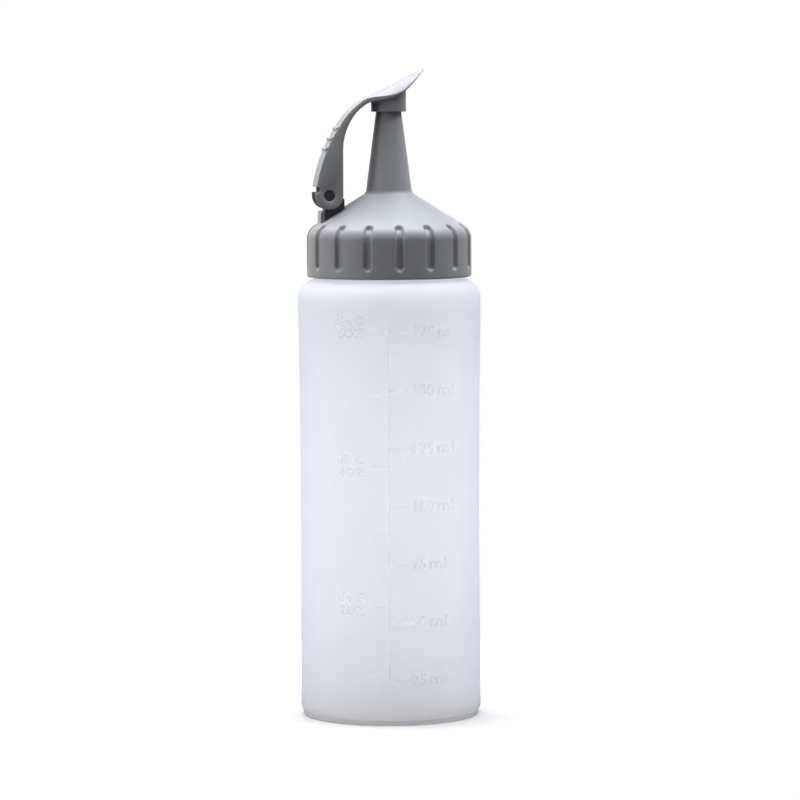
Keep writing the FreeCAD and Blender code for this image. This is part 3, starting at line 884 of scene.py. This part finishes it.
def milky_plastic(name, low, high):
    """Translucent wall: the light that passes is cooler where the wall is seen edge on and crossed the long way. The
    base is darker, partly for its thicker plastic and partly as painted shade near the floor.
    """
    material = plastic(name, low, high, roughness=0.42, grain=900.0, relief=0.12, mirror=0.5)
    tree = material.node_tree
    shader, surface = tree.nodes["Principled BSDF"], tree.nodes["Group"]
    weight = add_node(tree, "ShaderNodeLayerWeight", Blend=0.5)
    edge = add_node(tree, "ShaderNodeMapRange", From_Min=EDGE_START, From_Max=EDGE_FULL)
    where = tree.nodes.new("ShaderNodeTexCoord").outputs["Object"]
    split = tree.nodes.new("ShaderNodeSeparateXYZ")
    # Darker towards the bottom: thicker plastic plus painted shade near the floor
    foot = add_node(
        tree, "ShaderNodeMapRange",
        From_Min=FOOT_HEIGHT * MM, From_Max=FOOT_FADE * MM, To_Min=1.0, To_Max=0.0,
    )
    thick_and_shaded, passing = colour_mix(tree, "MULTIPLY", B=FOOT_THICK_AND_SHADE_TINT), colour_mix(tree, "MULTIPLY", B=EDGE_TINT)
    through = tree.nodes.new("ShaderNodeBsdfTranslucent")
    body = add_node(tree, "ShaderNodeMixShader", Fac=THROUGH_SHARE)
    connect(
        tree,
        (weight.outputs["Facing"], edge.inputs["Value"]),
        (edge.outputs["Result"], passing.inputs["Factor"]),
        (where, split.inputs["Vector"]),
        (split.outputs["Z"], foot.inputs["Value"]),
        (foot.outputs["Result"], thick_and_shaded.inputs["Factor"]),
        (surface.outputs["Color"], thick_and_shaded.inputs["A"]),
        (thick_and_shaded.outputs["Result"], shader.inputs["Base Color"]),
        (thick_and_shaded.outputs["Result"], passing.inputs["A"]),
        (passing.outputs["Result"], through.inputs["Color"]),
        (surface.outputs["Normal"], through.inputs["Normal"]),
        (shader.outputs["BSDF"], body.inputs[1]),
        (through.outputs["BSDF"], body.inputs[2]),
        (body.outputs["Shader"], tree.nodes["Material Output"].inputs["Surface"]),
    )
    return material


def thinned(material, share):
    """Mix clear into a material, for raised marks that only catch the light at their edges."""
    tree = material.node_tree
    surface = tree.nodes["Material Output"].inputs["Surface"]
    shown = surface.links[0].from_socket
    clear = tree.nodes.new("ShaderNodeBsdfTransparent")
    whole = add_node(tree, "ShaderNodeMixShader", Fac=share)
    connect(
        tree,
        (clear.outputs["BSDF"], whole.inputs[1]),
        (shown, whole.inputs[2]),
        (whole.outputs["Shader"], surface),
    )
    return material


moulded_grain = make_moulded_grain()
milky = milky_plastic("milky_plastic", (0.86, 0.855, 0.858), (0.87, 0.865, 0.868))
raised = thinned(milky_plastic("raised_marks", (0.80, 0.80, 0.82), (0.84, 0.84, 0.86)), MARK_SHARE)
grey = plastic(
    "grey_plastic", (0.195, 0.195, 0.2), (0.215, 0.215, 0.22), roughness=0.45, grain=2600.0, relief=0.25,
)
dark = plastic(
    "dark_plastic", (0.008, 0.007, 0.006), (0.014, 0.012, 0.010), roughness=0.55, grain=2600.0, relief=0.25,
)
rubber = plastic(
    "seal_rubber", (0.62, 0.62, 0.61), (0.70, 0.70, 0.69), roughness=0.6, grain=1800.0, relief=0.3,
)

# The object
make_bottle(milky)
thread_ridge("neck_thread", NECK_RADIUS - THREAD_SINK, NECK_RADIUS + NECK_THREAD_PROUD, "bottle", milky)
make_scale(raised)
make_cap(grey)
thread_ridge("cap_thread", BORE_RADIUS + THREAD_SINK, BORE_RADIUS - CAP_THREAD_PROUD, "cap", grey)
make_finger(grey)
make_lid(grey)
# The hinge block and the pin are coloured near black
softened_copy("hinge_block", "block_body", "cap", dark, width=0.18)
softened_copy("hinge_pin", "pin_body", "cap", dark, width=0.12)
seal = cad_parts["cap_seal"].data
seal.materials.clear()
seal.materials.append(rubber)

# Studio

def make_camera():
    """A long lens a little above the middle of the bottle."""
    level = math.cos(CAMERA_RISE)
    back = Vector((math.sin(CAMERA_AZIMUTH) * level, -math.cos(CAMERA_AZIMUTH) * level, math.sin(CAMERA_RISE)))
    right = Vector((math.cos(CAMERA_AZIMUTH), math.sin(CAMERA_AZIMUTH), 0))
    up = back.cross(right)
    right, up = (right * math.cos(CAMERA_ROLL) + up * math.sin(CAMERA_ROLL),
                 up * math.cos(CAMERA_ROLL) - right * math.sin(CAMERA_ROLL))
    eye = place(0, 0, CAMERA_AIM_UP) + right * CAMERA_AIM_ACROSS * MM + back * CAMERA_DISTANCE * MM
    data = bpy.data.cameras.new("camera")
    data.sensor_width = SENSOR
    data.lens = FOCAL_SHARE * SENSOR
    data.clip_start = CLIP_NEAR
    camera = bpy.data.objects.new("camera", data)
    camera.matrix_world = Matrix.Translation(eye) @ Matrix((right, up, back)).transposed().to_4x4()
    bpy.context.collection.objects.link(camera)
    bpy.context.scene.camera = camera


def area_light(name, at, aim, width, height, power, colour):
    """A soft box at a place in metres, turned to what it lights and not seen itself."""
    data = bpy.data.lights.new(name, "AREA")
    data.shape = "RECTANGLE"
    data.size, data.size_y = width, height
    data.energy = power
    data.color = colour
    light = bpy.data.objects.new(name, data)
    turn = (Vector(aim) - Vector(at)).to_track_quat("-Z", "Y")
    light.matrix_world = Matrix.Translation(at) @ turn.to_matrix().to_4x4()
    light.visible_camera = False
    bpy.context.collection.objects.link(light)


def make_floor():
    """Pale paper that takes the shadow near the bottle and passes into the white background further out."""
    bm = bmesh.new()
    bmesh.ops.create_grid(bm, x_segments=4, y_segments=4, size=FLOOR_REACH)
    mesh = bpy.data.meshes.new("floor")
    bm.to_mesh(mesh)
    bm.free()
    material, tree = new_material("floor_paper")
    where = tree.nodes.new("ShaderNodeTexCoord").outputs["Object"]
    fibre = add_node(tree, "ShaderNodeTexNoise", Scale=PAPER_FIBRE, Detail=5.0)
    tint = colour_mix(tree, A=PAPER_LOW, B=PAPER_HIGH)
    paper = tree.nodes.new("ShaderNodeBsdfDiffuse")
    glow = colour_mix(tree, A=FLOOR_BOUNCE, B=FLOOR_GLOW)
    unlit = tree.nodes.new("ShaderNodeBsdfDiffuse")
    white = add_node(tree, "ShaderNodeEmission", Color=WHITE, Strength=1.0)
    length = tree.nodes.new("ShaderNodeVectorMath")
    length.operation = "LENGTH"
    fade = add_node(tree, "ShaderNodeMapRange", From_Min=SHADOW_NEAR, From_Max=SHADOW_FAR)
    rays = tree.nodes.new("ShaderNodeLightPath")
    far, bounce = tree.nodes.new("ShaderNodeMixShader"), tree.nodes.new("ShaderNodeMixShader")
    out = tree.nodes.new("ShaderNodeOutputMaterial")
    connect(
        tree,
        (where, fibre.inputs["Vector"]),
        (fibre.outputs["Fac"], tint.inputs["Factor"]),
        (tint.outputs["Result"], paper.inputs["Color"]),
        (where, length.inputs[0]),
        (length.outputs["Value"], fade.inputs["Value"]),
        (fade.outputs["Result"], far.inputs["Fac"]),
        (paper.outputs["BSDF"], far.inputs[1]),
        (white.outputs["Emission"], far.inputs[2]),
        (rays.outputs["Is Transmission Ray"], glow.inputs["Factor"]),
        (glow.outputs["Result"], unlit.inputs["Color"]),
        (rays.outputs["Is Diffuse Ray"], bounce.inputs["Fac"]),
        (far.outputs["Shader"], bounce.inputs[1]),
        (unlit.outputs["BSDF"], bounce.inputs[2]),
        (bounce.outputs["Shader"], out.inputs["Surface"]),
    )
    mesh.materials.append(material)
    floor = bpy.data.objects.new("floor", mesh)
    bpy.context.collection.objects.link(floor)


def make_world():
    """White where it is seen, mirrored or passed on; for diffuse light bright behind and above, dark in front."""
    world = bpy.data.worlds.new("studio")
    world.use_nodes = True
    tree = world.node_tree
    tree.nodes.clear()
    where = tree.nodes.new("ShaderNodeTexCoord").outputs["Generated"]
    depth = tree.nodes.new("ShaderNodeVectorMath")
    depth.operation = "DOT_PRODUCT"
    depth.inputs[1].default_value = BACK_WAY
    split = tree.nodes.new("ShaderNodeSeparateXYZ")
    behind = add_node(
        tree, "ShaderNodeMapRange",
        From_Min=BEHIND_START, From_Max=BEHIND_FULL, To_Min=FRONT_LIGHT, To_Max=BACK_LIGHT,
    )
    above = add_node(
        tree, "ShaderNodeMapRange",
        From_Min=ABOVE_START, From_Max=ABOVE_FULL, To_Min=0.0, To_Max=TOP_LIGHT,
    )
    level = tree.nodes.new("ShaderNodeMath")
    lit = add_node(tree, "ShaderNodeBackground", Color=STUDIO_TINT)
    white = add_node(tree, "ShaderNodeBackground", Color=WHITE, Strength=1.0)
    rays = tree.nodes.new("ShaderNodeLightPath")
    seen, through = tree.nodes.new("ShaderNodeMath"), tree.nodes.new("ShaderNodeMath")
    seen.operation = through.operation = "MAXIMUM"
    mix = tree.nodes.new("ShaderNodeMixShader")
    out = tree.nodes.new("ShaderNodeOutputWorld")
    connect(
        tree,
        (where, depth.inputs[0]),
        (where, split.inputs["Vector"]),
        (depth.outputs["Value"], behind.inputs["Value"]),
        (split.outputs["Z"], above.inputs["Value"]),
        (behind.outputs["Result"], level.inputs[0]),
        (above.outputs["Result"], level.inputs[1]),
        (level.outputs["Value"], lit.inputs["Strength"]),
        (rays.outputs["Is Camera Ray"], seen.inputs[0]),
        (rays.outputs["Is Glossy Ray"], seen.inputs[1]),
        (seen.outputs["Value"], through.inputs[0]),
        (rays.outputs["Is Transmission Ray"], through.inputs[1]),
        (through.outputs["Value"], mix.inputs["Fac"]),
        (lit.outputs["Background"], mix.inputs[1]),
        (white.outputs["Background"], mix.inputs[2]),
        (mix.outputs["Shader"], out.inputs["Surface"]),
    )
    bpy.context.scene.world = world


make_camera()
make_floor()
make_world()
area_light(
    "top_box", at=(0.04, 0.09, 0.8), aim=(0, 0, 0.1), width=1.5, height=0.5, power=24.5, colour=(0.87, 0.93, 1.0),
)
area_light(
    "left_strip", at=(-0.64, -0.2, 0.25), aim=(0, 0, 0.12), width=0.25, height=0.6, power=1.7,
    colour=(0.93, 0.96, 1.0),
)
bpy.context.scene.view_settings.view_transform = "Standard"
